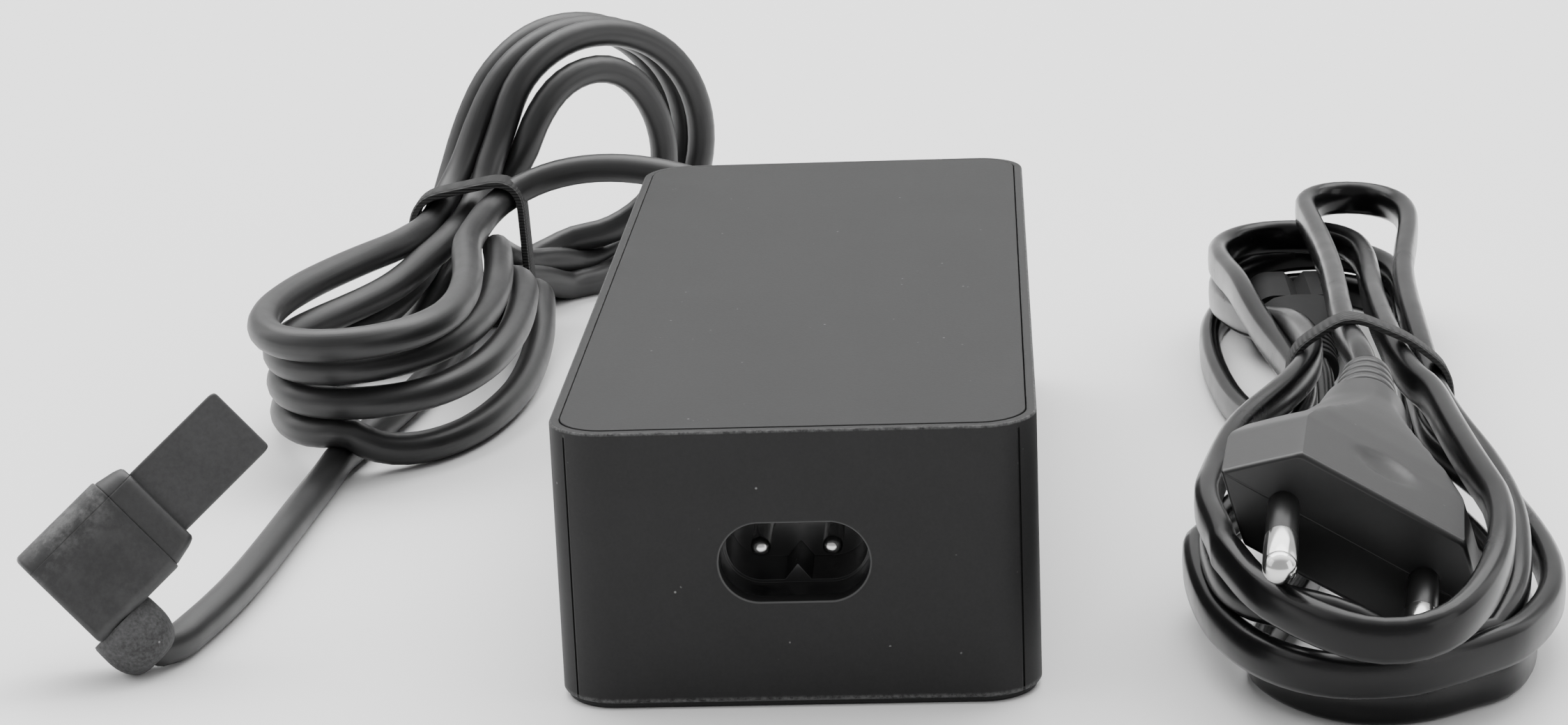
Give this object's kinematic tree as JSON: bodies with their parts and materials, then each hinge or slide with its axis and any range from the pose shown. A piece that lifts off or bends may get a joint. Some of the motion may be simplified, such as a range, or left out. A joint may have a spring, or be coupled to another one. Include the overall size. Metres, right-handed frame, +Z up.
{
  "type": "laptop power adapter",
  "caption": "Sealed rectangular laptop power adapter with a two-pin mains inlet, a captive output cord with a rectangular plug and a detachable flat mains lead.",
  "frame": {"origin": "middle of the underside of the case, on the surface it rests on", "axes": "+Z up, +Y along the length of the case from the mains inlet (at -Y) to the output cord (at +Y), +X to the right seen from the inlet side"},
  "size_m": [0.1909, 0.249, 0.047],
  "materials": {
    "case": "fine matt moulding texture, near-black grey",
    "inlet": "smooth black moulding",
    "pin": "bright nickel plating",
    "board": "green solder mask",
    "fuse": "tinned caps",
    "ntc": "dipped lacquer",
    "film": "moulded case",
    "ferrite": "sintered ferrite",
    "part_black": "moulded epoxy",
    "copper": "enamelled copper wire",
    "can": "shrink sleeve",
    "alu": "plain sheet",
    "steel": "zinc plated",
    "disc": "dipped lacquer",
    "pad": "soft thermal pad",
    "sheet": "pressboard",
    "wire": "insulated wire",
    "cord": "matt jacket",
    "mains_cord": "glossy PVC jacket",
    "tie": "fabric strap",
    "boot": "grainy rubber",
    "plug": "moulded PVC",
    "tip": "moulded plastic",
    "contact": "gold plating"
  },
  "bodies": {
    "adapter": {"housing": "case", "top_cover": "case", "bottom_cover": "case", "ac_inlet": "inlet", "inlet_pins": "pin", "circuit_board": "board", "fuse": "fuse", "inrush_thermistor": "ntc", "x_capacitor": "film", "line_choke_core": "ferrite", "line_choke_base": "part_black", "line_choke_windings": "copper", "bridge_rectifier": "part_black", "bulk_capacitor": "can", "primary_heat_sink": "alu", "switching_transistor": "part_black", "heat_sink_screws": "steel", "pfc_choke": "ferrite", "transformer_core": "ferrite", "transformer_bobbin": "part_black", "transformer_winding": "copper", "secondary_heat_sink": "alu", "output_rectifier": "part_black", "output_capacitors": "can", "output_choke": "ferrite", "y_capacitor": "disc", "optocoupler": "part_black", "control_board": "board", "heat_spreader": "alu", "thermal_pads": "pad", "insulating_sheet": "sheet", "output_wires": "wire", "cord_strain_relief": "cord", "dc_cord_from_case": "cord", "dc_hank_rear": "cord", "dc_cord_tie": "tie", "dc_hank_front": "cord", "dc_cord_to_plug": "cord", "dc_plug_boot": "boot", "dc_plug_body": "plug", "dc_plug_tip": "tip", "dc_plug_contacts": "contact"},
    "mains_lead": {"mains_plug_body": "plug", "mains_plug_pins": "pin", "mains_pin_sleeves": "inlet", "mains_plug_relief": "plug", "mains_cord_from_plug": "mains_cord", "mains_hank_front": "mains_cord", "mains_cord_tie": "tie", "mains_hank_rear": "mains_cord", "mains_cord_to_connector": "mains_cord", "connector_relief": "plug", "appliance_connector": "plug", "connector_contacts": "pin"}
  },
  "joints": [
    {"name": "mains_lead_lift", "type": "slide", "parent": "adapter", "child": "mains_lead", "axis": [0, 0, 1], "range_m": [0, 0.15]}
  ]
}
